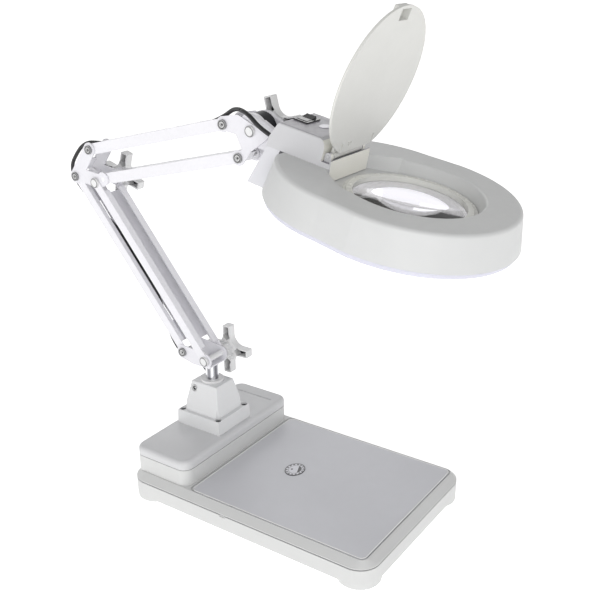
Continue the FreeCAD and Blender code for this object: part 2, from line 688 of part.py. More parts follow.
def neck_cover():
    draft = slab_y([(-40, -1), (40, -1), (40, 0), (34, 27.5), (-34, 27.5), (-40, 0)],
                   60, 180)
    draft_in = slab_y([(-37.8, -2), (37.8, -2), (37.8, 0), (31.8, 27.5), (-31.8, 27.5),
                       (-37.8, 0)], 60, 180)
    outer = slab_x(NECK_OUT, -42, 42).common(draft)
    outer = outer.makeFillet(2.5, [e for e in outer.Edges if on_neck_rim(e)])
    inner = slab_x(NECK_IN, -42, 42).common(draft_in)
    front = block(-39.4, 39.4, 78, 79.95, -15, 9)
    lugs = []
    for x0 in (-34, 29.6):
        lugs += [rod_x(4.2, x0, x0 + 4.4, LID_P, LID_Q),
                 block(x0, x0 + 4.4, LID_P - 4.2, LID_P + 4.2, 3.5, LID_Q)]
    sx, sp = SWITCH
    tools = [block(-15.3, 15.3, 150, 170, -2, 9.6),
             block(sx - 11.1, sx + 11.1, sp - 7.6, sp + 7.6, 20, 30),
             Part.makeCylinder(3.3, 20, V(-26, 150, 5.4), V(0, 1, 0)),
             rod_x(1.55, -40, 40, LID_P, LID_Q),
             badge_disc(8.1, 5.1, 26.6, 28, 3, 118)]
    return tipped(cut(fuse([outer.cut(inner), front] + lugs), tools))


def on_neck_rim(edge):
    """The neck's long top edges and its rear top edge."""
    box = edge.BoundBox
    along = box.YLength > 40 and box.ZMin > 26
    return along or (box.XLength > 60 and box.ZMin > 26 and box.YMin > 140)


def neck_rear_cover():
    """Pale hollow block that hangs under the neck behind the housing."""
    outer = slab_x([(143.2, 0), (160.5, 0), (180.5, -49), (158, -49)], -38, 38)
    inner = slab_x([(145.6, 1), (158.0, 1), (177.2, -46.6), (160.2, -46.6)], -35.8, 35.8)
    slot = block(-15.3, 15.3, 140, 190, -18.5, 1)
    return tipped(cut(outer, [inner, slot]))


def tilt_tongue():
    """Forked steel bracket: a foot on the housing and two ears about the tilt axis."""
    arm = [(144.5, 0.05), (144.5, 6), (160, 6), (187, 15.2), (TILT_P, 0), (187, -16.9),
           (165, -16), (144.5, -16)]
    pieces = [block(-14.8, 14.8, 108, 147, 0.05, 2.0), block(-14.8, 14.8, 144.5, 147, -16, 6)]
    for x0, x1 in ((-14.8, -9.0), (9.0, 14.8)):
        pieces += [slab_x(arm, x0, x1), rod_x(19.5, x0, x1, TILT_P, TILT_Q)]
    drill = rod_x(BOLT_R + GAP, -20, 20, TILT_P, TILT_Q)
    return tipped(fuse(pieces).cut(drill))


def friction_disc():
    disc = rod_x(18.8, -8.95, 8.95, TILT_P, TILT_Q)
    return tipped(disc.cut(rod_x(BOLT_R + 0.1, -20, 20, TILT_P, TILT_Q)))


def neck_badge():
    return tipped(badge_disc(8, 5, 26.65, 27.7, 3, 118))


def switch_bezel():
    x, p = SWITCH
    frame = block(x - 13.5, x + 13.5, p - 9.5, p + 9.5, 27.25, 28.6)
    frame = frame.makeFillet(1.5, upright_edges(frame))
    skirt = block(x - 11, x + 11, p - 7.5, p + 7.5, 20.5, 28)
    hole = block(x - 10, x + 10, p - 6.6, p + 6.6, 19, 30)
    return tipped(fuse([frame, skirt]).cut(hole))


def switch_rocker():
    """Rocker resting in its off position, one end raised."""
    x, p = SWITCH
    profile = [(-9.2, 22.8), (9.2, 22.8), (9.2, 30.2), (0, 28.9), (-9.2, 30.2)]
    body = slab_y([(x + a, z) for a, z in profile], p - 6.3, p + 6.3)
    body.rotate(V(x, p, 24), V(0, 1, 0), -7)
    return tipped(body)


def lid_hinge_pin():
    return tipped(rod_x(1.45, -34.6, 34.6, LID_P, LID_Q))


def lens_cover():
    """Opaque cover drawn shut over the well, then swung open about its hinge."""
    disc = badge_disc(LID_RY, LID_RX, 1.0, 4.2, 0, 0)
    disc = disc.makeFillet(1.0, edges_at(disc, 4.2))
    disc.rotate(V(0, 0, 0), V(0, 0, 1), 90)
    disc.translate(V(0, 2.0, 0))
    front = 2.0 - LID_RY
    hood = block(-11.2, 11.2, front + 1.5, front + 17, 3.0, 10.5)
    hood = hood.makeFillet(2.0, [e for e in hood.Edges if e.BoundBox.ZMax > 10])
    plate = fuse([disc, hood]).cut(block(-90, 90, 77.3, 120, -5, 20))
    dent = block(-9.4, 9.4, front + 3.3, front + 15.2, 0, 8.8)
    vent = slab_z([(-20, 66), (-13, 66), (-16.5, 72)], 0, 6)
    notches = [block(x, x + 3, 66, 78, 0, 6) for x in (-32, 29)]
    leaf = [block(-28, 28, 72.5, 77.3, 3.2, 12.3), block(-28, 28, 72.5, LID_P, 9.3, 12.3),
            rod_x(4.2, -28, 28, LID_P, LID_Q)]
    cover = cut(fuse([plate] + leaf), [rod_x(1.55, -40, 40, LID_P, LID_Q), dent, vent] + notches)
    cover.rotate(V(0, LID_P, LID_Q), V(1, 0, 0), -LID_OPEN)
    return tipped(cover)


# ---------------------------------------------------------------- cable

def cable_points():
    """Corners of the cable's route from the post to the neck, as (x, y, z)."""
    flat = [(POST_Y, 100), (POST_Y, 146.0), (180, 149.0), (200.5, 173.5)]
    flat += [polar(A0, LOWER_ANGLE, u, v) for u, v in ((66, -7), (92, 0), (180, 0), (206, -7))]
    flat += [(343.4, 351.0), (366.5, 379.8), (345.0, 409.0), (328, 420.0)]
    flat += [polar(C1, UPPER_ANGLE, u, v) for u, v in ((1, -6.6), (26, -1.4), (176, -1.4),
                                                       (202, -4.2), (223, -8.6))]
    route = [(0.0, y, z) for y, z in flat]
    route += [(-6.1, 73.3, 489.2), (-20.6, 44.8, 487.6), (-24.5, 24.5, 472.4)]
    neck = polar((HEAD_Y, HEAD_Z), HEAD_TILT, 158.0, 5.4)
    route.append((-26.0, neck[0], neck[1]))
    return [V(*p) for p in route]


def cable_arcs(points):
    """Tangent arc at every corner: start, middle and end of each, and the radius."""
    arcs = []
    for before, corner, after in zip(points, points[1:], points[2:]):
        back = (before - corner).normalize()
        ahead = (after - corner).normalize()
        turn = math.pi - back.getAngle(ahead)
        short = min((before - corner).Length, (after - corner).Length)
        radius = 0.45 * short / math.tan(turn / 2)
        bisector = (back + ahead).normalize()
        depth = radius * (1 / math.cos(turn / 2) - 1)
        arcs.append((corner + back * 0.45 * short, corner + bisector * depth,
                     corner + ahead * 0.45 * short, radius))
    return arcs


def cable_piece(first, last):
    """Tube between the middles of two runs; an end run at the route's end is whole."""
    points = cable_points()
    arcs = cable_arcs(points)
    here = points[0] if first == 0 else (points[first] + points[first + 1]) * 0.5
    stop = points[-1] if last == len(points) - 2 else (points[last] + points[last + 1]) * 0.5
    edges = []
    for k in range(first, last):
        start, middle, end, radius = arcs[k]
        edges.append(Part.makeLine(here, start))
        edges.append(Part.Arc(start, middle, end).toShape())
        here = end
        print("    corner %d radius %.1f" % (k + 1, radius))
    edges.append(Part.makeLine(here, stop))
    path = Part.Wire(edges)
    start = path.Edges[0].Vertexes[0].Point
    direction = edges[0].tangentAt(edges[0].FirstParameter)
    section = Part.Face(Part.Wire(Part.Circle(start, direction, CABLE_R).toShape()))
    tube = path.makePipe(section)
    print("    length %.1f, volume over section times length %.4f" % (
        path.Length, tube.Volume / (math.pi * CABLE_R ** 2 * path.Length)))
    return tube


# ---------------------------------------------------------------- writing

CABLE_SPLITS = {"cable_at_post": (0, 4), "cable_in_lower_bar": (4, 7),
                "cable_elbow_start": (7, 9), "cable_elbow_end": (9, 12),
                "cable_in_upper_bar": (12, 14), "cable_head_start": (14, 17),
                "cable_head_end": (17, 19)}

SIMPLE = [base_tray, rubber_feet, base_screws, base_cover, work_panel, panel_badge, rear_box,
          rear_box_lid, ballast_weight, lamp_choke, cable_inlet, pedestal, pedestal_screws,
          post_collar, lock_screw, post, post_bracket, rear_lower_bar, front_lower_bar,
          elbow_plate_near, elbow_plate_far, elbow_rivet, upper_top_bar, upper_bottom_bar,
          head_plate_near, head_plate_far, head_housing, lens_barrel, magnifying_lens,
          lens_ring, circular_tube, tube_connector, tube_clips, diffuser, neck_cover,
          neck_rear_cover, tilt_tongue, friction_disc, neck_badge, switch_bezel,
          switch_rocker, lid_hinge_pin, lens_cover]


def main():
    os.makedirs("parts", exist_ok=True)
    for make in SIMPLE:
        save(make.__name__, make())
    save("lower_pivot_screw", pivot_screw(*A0))
    save("elbow_pivot_screws", Part.makeCompound([pivot_screw(*A1), pivot_screw(*C1)]))
    save("head_pivot_screws", Part.makeCompound([pivot_screw(*C2), pivot_screw(*D2)]))
    save("lower_clamp_bolt", clamp_bolt(*B0, OUTER_BAR))
    save("elbow_clamp_bolt", clamp_bolt(*B1, OUTER_BAR))
    save("tilt_bolt", clamp_bolt(*E, PLATE_OUT))
    save("lower_knob", knob(*B0, OUTER_BAR + 0.2, 0))
    save("elbow_knob", knob(*B1, OUTER_BAR + 0.2, 18))
    save("head_knob", knob(*E, PLATE_OUT + 0.2, -14))
    for name, (first, last) in CABLE_SPLITS.items():
        save(name, cable_piece(first, last))


main()
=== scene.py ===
import json
import math
import bpy
import bmesh
from mathutils import Matrix, Vector


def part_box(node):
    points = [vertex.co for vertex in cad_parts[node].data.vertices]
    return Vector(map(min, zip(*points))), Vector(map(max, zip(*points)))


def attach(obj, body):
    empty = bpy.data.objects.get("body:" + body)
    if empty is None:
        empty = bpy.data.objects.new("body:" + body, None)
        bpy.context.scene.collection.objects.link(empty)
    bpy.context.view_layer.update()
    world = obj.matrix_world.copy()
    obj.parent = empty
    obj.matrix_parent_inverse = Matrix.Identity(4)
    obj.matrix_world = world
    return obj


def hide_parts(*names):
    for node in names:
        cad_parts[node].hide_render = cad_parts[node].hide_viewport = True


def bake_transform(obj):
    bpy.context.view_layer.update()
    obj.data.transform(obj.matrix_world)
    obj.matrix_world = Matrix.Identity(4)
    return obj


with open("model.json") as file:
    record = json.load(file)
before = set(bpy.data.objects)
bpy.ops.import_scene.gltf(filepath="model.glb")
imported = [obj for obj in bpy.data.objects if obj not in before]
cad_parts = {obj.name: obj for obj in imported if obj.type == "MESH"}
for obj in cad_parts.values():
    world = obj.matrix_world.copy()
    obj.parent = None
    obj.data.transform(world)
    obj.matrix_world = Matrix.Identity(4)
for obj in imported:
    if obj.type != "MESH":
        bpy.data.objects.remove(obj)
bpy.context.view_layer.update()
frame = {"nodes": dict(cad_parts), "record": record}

MM = 0.001
UP = Vector((0, 0, 1))
REACH_SHIFT = -49.55           # the base's middle in the row frame, mm along Y

# Arm pivots and angles that the cable's route is laid out from, in mm about the base
A0 = (166.0, 165.4)
LOWER_ANGLE = 50.9
C1 = (308.1, 415.2)
UPPER_ANGLE = 166.1
HEAD = (-151.4, 427.8)
HEAD_TILT = 11.5
CABLE_R = 2.5

# Heights and depths that the finishes are laid out from, in mm
TRAY_SEAM_Z = 27.0
LID_SEAM_Z = 57.5
SEAM_REACH = 0.7
KNOB_POCKET_X = 36.5
PIVOT_SCREW_R = 5.8
CLAMP_BOLT_R = 7.13
PINCH_SCREW_R = 4.2

# The panel's edge bead, in mm about the base; its light colour is a painted highlight.
BEAD_HALF_WIDTH = 107.3
BEAD_FRONT_Y = -164.3
BEAD_REAR_Y = 81.8
BEAD_Z = 35.62
BEAD_CORNER = 6.8
BEAD_R = 0.65

# The camera's place in mm about the base, its turns in degrees and its lens in mm
CAMERA_AT = (-819.1, -574.6, 667.0)
CAMERA_YAW, CAMERA_PITCH, CAMERA_ROLL = 34.63, 21.69, -0.47
CAMERA_LENS = 54.68

# Name, place, target, size and power of each soft light, in metres and watts
LIGHTS = [("key", (-1.7, -1.5, 1.0), (0, 0, 0.28), (1.6, 1.2), 15.0),
          ("side", (-1.9, 0.9, 0.9), (0, 0, 0.3), (1.4, 1.2), 5.0),
          ("rim", (1.5, 1.2, 1.3), (0, 0, 0.3), (1.2, 1.0), 4.0)]
HORIZON_LIGHT = 0.90
OVERHEAD_LIGHT = 0.42
FLOOR_SIZE = 120.0
FLOOR_GLOW = 0.62


def place(x, y, z):
    return Vector((x * MM, (y + REACH_SHIFT) * MM, z * MM))


def polar(start, angle, u, v=0.0):
    c, s = math.cos(math.radians(angle)), math.sin(math.radians(angle))
    return (start[0] + u * c - v * s, start[1] + u * s + v * c)


def head_point(x, p, q):
    """A point of the head, from its own level plane."""
    y, z = polar(HEAD, HEAD_TILT, p, q)
    return place(x, y, z)


# ------------------------------------------------------------------ materials

class Nodes:
    """Small helper that builds one material's node tree."""

    def __init__(self, name):
        self.material = bpy.data.materials.new(name)
        self.material.use_nodes = True
        self.tree = self.material.node_tree
        self.shader = self.tree.nodes["Principled BSDF"]
        self.place = self.add("ShaderNodeTexCoord").outputs["Object"]

    def add(self, kind, **values):
        node = self.tree.nodes.new(kind)
        for key, value in values.items():
            setattr(node, key, value)
        return node

    def link(self, a, b):
        self.tree.links.new(a, b)

    def noise(self, scale, detail=3.0, rough=0.5, stretch=None):
        node = self.add("ShaderNodeTexNoise")
        node.inputs["Scale"].default_value = scale
        node.inputs["Detail"].default_value = detail
        node.inputs["Roughness"].default_value = rough
        if stretch is None:
            self.link(self.place, node.inputs["Vector"])
        else:
            mapping = self.add("ShaderNodeMapping")
            mapping.inputs["Scale"].default_value = stretch
            self.link(self.place, mapping.inputs["Vector"])
            self.link(mapping.outputs["Vector"], node.inputs["Vector"])
        return node.outputs["Fac"]

    def remap(self, value, low, high, to_low, to_high):
        node = self.add("ShaderNodeMapRange", clamp=True)
        for key, number in (("From Min", low), ("From Max", high),
                            ("To Min", to_low), ("To Max", to_high)):
            node.inputs[key].default_value = number
        self.link(value, node.inputs["Value"])
        return node.outputs["Result"]

    def mix(self, factor, a, b):
        node = self.add("ShaderNodeMix", data_type="RGBA")
        for socket, value in ((node.inputs[0], factor), (node.inputs[6], a), (node.inputs[7], b)):
            if hasattr(value, "links"):
                self.link(value, socket)
            elif isinstance(value, float):
                socket.default_value = value
            else:
                socket.default_value = (*value, 1.0)
        return node.outputs[2]

    def math(self, operation, a, b=0.0):
        node = self.add("ShaderNodeMath", operation=operation)
        for socket, value in zip(node.inputs, (a, b)):
            if hasattr(value, "links"):
                self.link(value, socket)
            else:
                socket.default_value = value
        return node.outputs[0]

    def bump(self, height, strength, distance, under=None):
        node = self.add("ShaderNodeBump")
        node.inputs["Strength"].default_value = strength
        node.inputs["Distance"].default_value = distance
        self.link(height, node.inputs["Height"])
        if under is not None:
            self.link(under, node.inputs["Normal"])
        return node.outputs["Normal"]

    def split(self, which):
        """The X, Y and Z of the object's own position or normal."""
        node = self.add("ShaderNodeSeparateXYZ")
        self.link(self.add("ShaderNodeTexCoord").outputs[which], node.inputs[0])
        return node.outputs

    def from_axis(self, first, second):
        """The length of a flat vector that is given by its two parts."""
        squares = [self.math("MULTIPLY", v, v) for v in (first, second)]
        return self.math("SQRT", self.math("ADD", *squares))

    def greys(self, value, stops):
        """Steps of grey along a value, each from its own position on."""
        node = self.add("ShaderNodeValToRGB")
        ramp = node.color_ramp
        ramp.interpolation = "CONSTANT"
        while len(ramp.elements) < len(stops):
            ramp.elements.new(1.0)
        for element, (position, grey) in zip(ramp.elements, stops):
            element.position = position
            element.color = (grey, grey, grey, 1.0)
        self.link(value, node.inputs["Fac"])
        return node.outputs["Color"]

    def paint(self, mask, colour):
        """Lays a colour over the base colour where the mask is 1."""
        now = self.shader.inputs["Base Color"].links[0].from_socket
        self.set(Base_Color=self.mix(mask, now, colour))

    def edges(self):
        """0 on flats, 1 on convex edges."""
        point = self.add("ShaderNodeNewGeometry").outputs["Pointiness"]
        return self.remap(point, 0.52, 0.62, 0.0, 1.0)

    def set(self, **values):
        for key, value in values.items():
            socket = self.shader.inputs[key.replace("_", " ")]
            if hasattr(value, "links"):
                self.link(value, socket)
            elif isinstance(value, (tuple, list)):
                socket.default_value = (*value, 1.0)[:len(socket.default_value)]
            else:
                socket.default_value = value


def scaled(colour, factor):
    return tuple(min(1.0, c * factor) for c in colour)


def moulding(name, colour, rough=0.45, grain=0.5, spread=0.025, coat=0.0, worn=0.15):
    """Injection-moulded plastic: spark-eroded grain, flow clouding, polished edges."""
    n = Nodes(name)
    cloud = n.remap(n.noise(9.0, 4.0, 0.6), 0.3, 0.7, 0.0, 1.0)
    flow = n.remap(n.noise(60.0, 2.0, 0.5), 0.35, 0.65, 0.0, 1.0)
    tone = n.mix(cloud, scaled(colour, 1.0 - spread), scaled(colour, 1.0 + spread * 0.6))
    tone = n.mix(n.math("MULTIPLY", flow, 0.35), tone, scaled(colour, 0.97))
    wear = n.edges()
    tone = n.mix(n.math("MULTIPLY", wear, worn), tone, scaled(colour, 1.12))
    pits = n.noise(2600.0, 2.0, 0.55)
    waves = n.noise(45.0, 1.0, 0.4)
    normal = n.bump(pits, 0.25 * grain, 0.00012)
    normal = n.bump(waves, 0.08, 0.0004, normal)
    satin = n.remap(n.noise(140.0, 3.0, 0.5), 0.3, 0.7, rough - 0.05, rough + 0.07)
    gloss = n.math("SUBTRACT", satin, n.math("MULTIPLY", wear, worn * 0.6))
    n.set(Base_Color=tone, Roughness=gloss, Normal=normal, Coat_Weight=coat,
          Coat_Roughness=0.25)
    return n


def moulded(*values):
    return moulding(*values).material


def seamed(name, colour, heights):
    """Moulding with a shadow line in the parting grooves at the given heights."""
    n = moulding(name, colour, 0.45, 0.7)
    here = n.split("Object")[2]
    for height in heights:
        off = n.math("ABSOLUTE", n.math("SUBTRACT", here, height * MM))
        n.paint(n.math("LESS_THAN", off, SEAM_REACH * MM), (0.16, 0.16, 0.165))
    return n.material


def topped(name, colour, painted_top_shade, wall_colour):
    """Glossy moulding, with painted shade and dark reflection on the faces that look up and cream
    on the wall by the lens.
    """
    n = moulding(name, colour, 0.34, 0.4, 0.015, 0.25, 0.0)
    facing = n.split("Normal")
    # Painted shade and dark reflection on the faces that look up.
    n.paint(n.remap(facing[2], 0.80, 0.95, 0.0, 1.0), painted_top_shade)
    n.paint(n.remap(facing[1], -0.6, -0.9, 0.0, 1.0), wall_colour)
    return n.material


def hollowed(name, colour):
    """Moulded knob with painted shade, near black, at the bottom of its pockets."""
    n = moulding(name, colour, 0.36, 0.5)
    back = n.math("LESS_THAN", n.split("Normal")[0], -0.9)
    shaded_floor = n.math("GREATER_THAN", n.split("Object")[0], KNOB_POCKET_X * MM)
    # Painted shade, near black, on the pocket floors.
    n.paint(n.math("MULTIPLY", back, shaded_floor), (0.015, 0.015, 0.018))
    return n.material


def powder_coat(name, colour, rough=0.32):
    """Painted steel: a fine orange-peel skin, worn a little on the sheet edges."""
    n = Nodes(name)
    cloud = n.remap(n.noise(14.0, 3.0, 0.5), 0.3, 0.7, 0.0, 1.0)
    tone = n.mix(cloud, scaled(colour, 0.97), scaled(colour, 1.0))
    wear = n.math("MULTIPLY", n.edges(), n.remap(n.noise(320.0, 3.0, 0.6), 0.5, 0.62, 0.0, 1.0))
    tone = n.mix(n.math("MULTIPLY", wear, 0.08), tone, (0.55, 0.55, 0.56))
    peel = n.noise(420.0, 1.0, 0.4)
    normal = n.bump(peel, 0.05, 0.00012)
    satin = n.remap(n.noise(220.0, 2.0, 0.5), 0.3, 0.7, rough - 0.04, rough + 0.06)
    n.set(Base_Color=tone, Roughness=satin, Normal=normal, Coat_Weight=0.3, Coat_Roughness=0.18)
    return n.material


def metal(name, colour, rough, brushed=None, scratch=0.3):
    """Plated or bare metal with fine brushing and smudges."""
    n = Nodes(name)
    grain = n.noise(700.0, 4.0, 0.6, stretch=brushed)
    smudge = n.remap(n.noise(55.0, 4.0, 0.6), 0.35, 0.7, 0.0, 1.0)
    tone = n.mix(smudge, colour, scaled(colour, 0.82))
    tone = n.mix(n.math("MULTIPLY", n.edges(), 0.4), tone, scaled(colour, 1.35))
    shine = n.math("ADD", n.remap(grain, 0.3, 0.7, rough * 0.8, rough * 1.25),
                   n.math("MULTIPLY", smudge, 0.06))
    n.set(Base_Color=tone, Metallic=1.0, Roughness=shine, Normal=n.bump(grain, scratch, 0.00005))
    return n.material


def banded_chrome(name):
    """Polished tube with painted reflections: light and dark bands along its length, set by the
    way each face turns.
    """
    n = Nodes(name)
    facing = n.split("Normal")
    turn = n.math("ARCTAN2", facing[1], facing[0])
    reflection_band = n.math("SINE", n.math("ADD", n.math("MULTIPLY", turn, 5.0), 0.6))
    smudge = n.noise(60.0, 4.0, 0.6)
    # Painted reflections: the bands turn dark and light with the way the surface faces.
    tone = n.mix(n.remap(reflection_band, -0.8, 0.7, 0.0, 1.0), (0.24, 0.24, 0.26), (0.84, 0.84, 0.86))
    n.set(Base_Color=tone, Metallic=0.9, Roughness=n.remap(smudge, 0.3, 0.7, 0.06, 0.14),
          Normal=n.bump(n.noise(500.0, 3.0, 0.5, stretch=(1.0, 1.0, 0.05)), 0.05, 0.00004))
    return n.material


def rubber(name, colour, rough, ribs, dusty=0.5):
    """Rubber or sheathing with a little dust on it."""
    n = Nodes(name)
    dust = n.remap(n.noise(80.0, 5.0, 0.65), 0.45, 0.75, 0.0, 1.0)
    tone = n.mix(n.math("MULTIPLY", dust, dusty), colour, (0.14, 0.14, 0.145))
    fine = n.noise(1800.0, 3.0, 0.6)
    normal = n.bump(fine, 0.3, 0.0001)
    normal = n.bump(n.noise(ribs, 1.0, 0.3), 0.15, 0.0003, normal)
    n.set(Base_Color=tone, Roughness=n.remap(fine, 0.3, 0.7, rough - 0.08, rough + 0.08),
          Normal=normal)
    return n.material


def cast(name, colour):
    """Lacquered iron with a sandy skin."""
    n = Nodes(name)
    sand = n.noise(380.0, 5.0, 0.7)
    tone = n.mix(n.remap(n.noise(40.0, 4.0, 0.6), 0.3, 0.7, 0.0, 1.0), colour,
                 scaled(colour, 0.6))
    n.set(Base_Color=tone, Metallic=0.7, Roughness=n.remap(sand, 0.3, 0.7, 0.5, 0.75),
          Normal=n.bump(sand, 0.6, 0.0006))
    return n.material


def laminated(name, colour):
    """Stacked sheets of a choke under brown varnish."""
    n = Nodes(name)
    wave = n.add("ShaderNodeTexWave", wave_type="BANDS", bands_direction="X")
    wave.inputs["Scale"].default_value = 320.0
    wave.inputs["Distortion"].default_value = 0.6
    n.link(n.place, wave.inputs["Vector"])
    tone = n.mix(wave.outputs["Fac"], scaled(colour, 0.6), colour)
    n.set(Base_Color=tone, Metallic=0.6, Roughness=n.remap(wave.outputs["Fac"], 0, 1, 0.35, 0.6),
          Normal=n.bump(wave.outputs["Fac"], 0.4, 0.0002))
    return n.material


def glass(name, colour):
    """Polished lens with a trace of handling marks."""
    n = Nodes(name)
    marks = n.remap(n.noise(35.0, 5.0, 0.7), 0.55, 0.8, 0.0, 1.0)
    swirl = n.noise(420.0, 2.0, 0.5, stretch=(1.0, 0.2, 1.0))
    n.set(Base_Color=colour, Roughness=n.remap(marks, 0, 1, 0.015, 0.075),
          Transmission_Weight=1.0, IOR=1.52, Normal=n.bump(swirl, 0.01, 0.00002))
    return n.material


def phosphor(name, colour):
    """White-coated tube, a little uneven near its ends."""
    n = Nodes(name)
    cloud = n.remap(n.noise(30.0, 4.0, 0.6), 0.35, 0.7, 0.0, 1.0)
    tone = n.mix(cloud, colour, scaled(colour, 0.93))
    n.set(Base_Color=tone, Roughness=n.remap(cloud, 0, 1, 0.12, 0.2), Coat_Weight=0.8,
          Coat_Roughness=0.05, Normal=n.bump(n.noise(150.0, 1.0, 0.3), 0.03, 0.0002))
    return n.material


def opal(name, colour, through, rough):
    """Translucent moulding: soft inside scatter and a stippled back."""
    n = Nodes(name)
    cloud = n.remap(n.noise(22.0, 3.0, 0.5), 0.3, 0.7, 0.0, 1.0)
    tone = n.mix(cloud, scaled(colour, 0.96), colour)
    stipple = n.noise(1500.0, 2.0, 0.5)
    n.set(Base_Color=tone, Roughness=n.remap(stipple, 0.3, 0.7, rough - 0.05, rough + 0.08),
          Subsurface_Weight=through, Subsurface_Radius=(0.006, 0.006, 0.006),
          Subsurface_Scale=1.0, Normal=n.bump(stipple, 0.2, 0.0001))
    return n.material


def ringed(name, node, pale, dark, stops, spokes, ring_start):
    """Oval badge: rings, a ring of ticks and a crescent about a pale centre."""
    n = Nodes(name)
    low, high = (Vector(v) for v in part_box(node))
    centre, reach = (low + high) / 2, (high - low) / 2
    here = n.split("Object")
    dx, dy = (n.math("DIVIDE", n.math("SUBTRACT", here[k], centre[k]), reach[k])
              for k in (0, 1))
    radius = n.from_axis(dx, dy)
    rings = n.greys(radius, stops)
    turn = n.math("ARCTAN2", dy, dx)
    tick = n.math("GREATER_THAN", n.math("SINE", n.math("MULTIPLY", turn, float(spokes))), 0.1)
    in_ring = n.math("MULTIPLY", n.math("GREATER_THAN", radius, ring_start),
                     n.math("LESS_THAN", radius, 0.91))
    ink = n.math("MULTIPLY", rings,
                 n.math("SUBTRACT", 1.0, n.math("MULTIPLY", tick, in_ring)))
    shift = n.math("SUBTRACT", n.math("MULTIPLY", dx, 0.45), n.math("MULTIPLY", dy, 0.9))
    crescent = n.math("MULTIPLY", n.math("GREATER_THAN", shift, 0.30),
                      n.math("LESS_THAN", radius, 0.64))
    from_spot = n.from_axis(n.math("ADD", dx, 0.12), n.math("SUBTRACT", dy, 0.30))
    spot = n.math("LESS_THAN", from_spot, 0.1095)
    ink = n.math("MINIMUM", n.math("ADD", ink, n.math("ADD", crescent, spot)), 1.0)
    print_edge = n.noise(1600.0, 3.0, 0.6)
    tone = n.mix(n.math("MULTIPLY", ink, n.remap(print_edge, 0.2, 0.5, 0.85, 1.0)), pale, dark)
    n.set(Base_Color=tone, Roughness=n.remap(print_edge, 0.3, 0.7, 0.25, 0.38),
          Coat_Weight=0.3, Coat_Roughness=0.15, Normal=n.bump(print_edge, 0.08, 0.00005))
    return n.material


def turned(name, centres, reach, stops, metallic):
    """Screw or bolt whose head is painted in rings of grey about its own axis: its own tone, with
    painted shade in the socket and round the rim.
    """
    n = Nodes(name)
    here = n.split("Object")
    away = [n.from_axis(n.math("SUBTRACT", here[1], y), n.math("SUBTRACT", here[2], z))
            for y, z in centres]
    # The grey steps are the head's own tone, with painted shade in the socket and round the rim.
    rings = n.greys(n.math("DIVIDE", n.math("MINIMUM", *away), reach), stops)
    grain = n.noise(900.0, 3.0, 0.6)
    tone = n.mix(n.remap(grain, 0.3, 0.7, 0.0, 0.25), rings, (0.3, 0.3, 0.31))
    n.set(Base_Color=tone, Metallic=metallic, Roughness=n.remap(grain, 0.3, 0.7, 0.3, 0.4),
          Normal=n.bump(grain, 0.2, 0.00005))
    return n.material


def screw_centres(node, reach, rising):
    """Axes of one screw or of two, from opposite corners of their box."""
    low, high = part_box(node)
    across = (low[1] + reach, high[1] - reach)
    height = (low[2] + reach, high[2] - reach)
    return list(zip(across, height if rising else height[::-1]))


WARM = (0.615, 0.618, 0.612)
LILAC = (0.605, 0.608, 0.635)
BADGE_RINGS = [(0.0, 0.0), (0.60, 0.5), (0.68, 0.0), (0.74, 1.0), (0.88, 0.15), (0.91, 1.0)]
# Grey steps out from a head's axis; the dark steps are painted shade in sockets and round rims.
PIVOT_RINGS = [(0.0, 0.06), (0.26, 0.62), (0.62, 0.05), (0.82, 0.30)]
BOLT_RINGS = [(0.0, 0.80), (0.60, 0.22), (0.80, 0.75)]
PINCH_RINGS = [(0.0, 0.75), (0.34, 0.03), (0.74, 0.7)]
FINISH = {
    "shell": seamed("shell_moulding", WARM, (TRAY_SEAM_Z, LID_SEAM_Z)),
    "panel": moulded("panel_moulding", LILAC, 0.42, 1.0, 0.035),
    "badge": ringed("oval_badge", "panel_badge", (0.62, 0.62, 0.66), (0.012, 0.012, 0.015),
                    BADGE_RINGS, 14, 0.74),
    "rubber_black": rubber("black_rubber", (0.02, 0.02, 0.02), 0.65, 90.0),
    "screw_dark": metal("dark_plated_steel", (0.10, 0.10, 0.11), 0.38),
    "screw_bright": metal("zinc_plated_steel", (0.74, 0.74, 0.76), 0.28),
    "iron": cast("lacquered_iron", (0.10, 0.10, 0.11)),
    "laminations": laminated("choke_laminations", (0.30, 0.24, 0.19)),
    "chrome": banded_chrome("chrome_tube"),
    "arm_paint": powder_coat("white_powder_coat", (0.775, 0.768, 0.800)),
    "bracket_paint": powder_coat("bracket_powder_coat", (0.745, 0.738, 0.775), 0.36),
    "knob": hollowed("knob_moulding", (0.70, 0.70, 0.70)),
    "cable": rubber("cable_sheath", (0.008, 0.008, 0.009), 0.38, 260.0, 0.12),
    "head": moulded("head_moulding", (0.595, 0.600, 0.598), 0.42, 0.6),
    # The neck's dark second colour is painted shade and dark reflection on its upward faces.
    "neck": topped("neck_moulding", (0.560, 0.560, 0.575), (0.235, 0.225, 0.255),
                   (0.80, 0.79, 0.73)),
    "pale_plastic": opal("pale_moulding", (0.66, 0.66, 0.69), 0.15, 0.34),
    "lens_glass": glass("lens_glass", (0.86, 0.85, 0.90)),
    "tube_glass": phosphor("phosphor_tube", (0.88, 0.88, 0.90)),
    "diffuser": opal("opal_diffuser", (0.60, 0.60, 0.68), 0.3, 0.28),
    "friction": metal("friction_disc_face", (0.035, 0.035, 0.04), 0.45, (1.0, 8.0, 8.0), 0.5),
    "black_plastic": moulded("black_switch", (0.018, 0.018, 0.02), 0.28, 0.3, 0.2, 0.4),
    "clip_steel": metal("spring_steel", (0.60, 0.60, 0.63), 0.25, (4.0, 1.0, 4.0)),
    "cover": moulded("cover_moulding", (0.640, 0.640, 0.615), 0.46, 0.5),
}
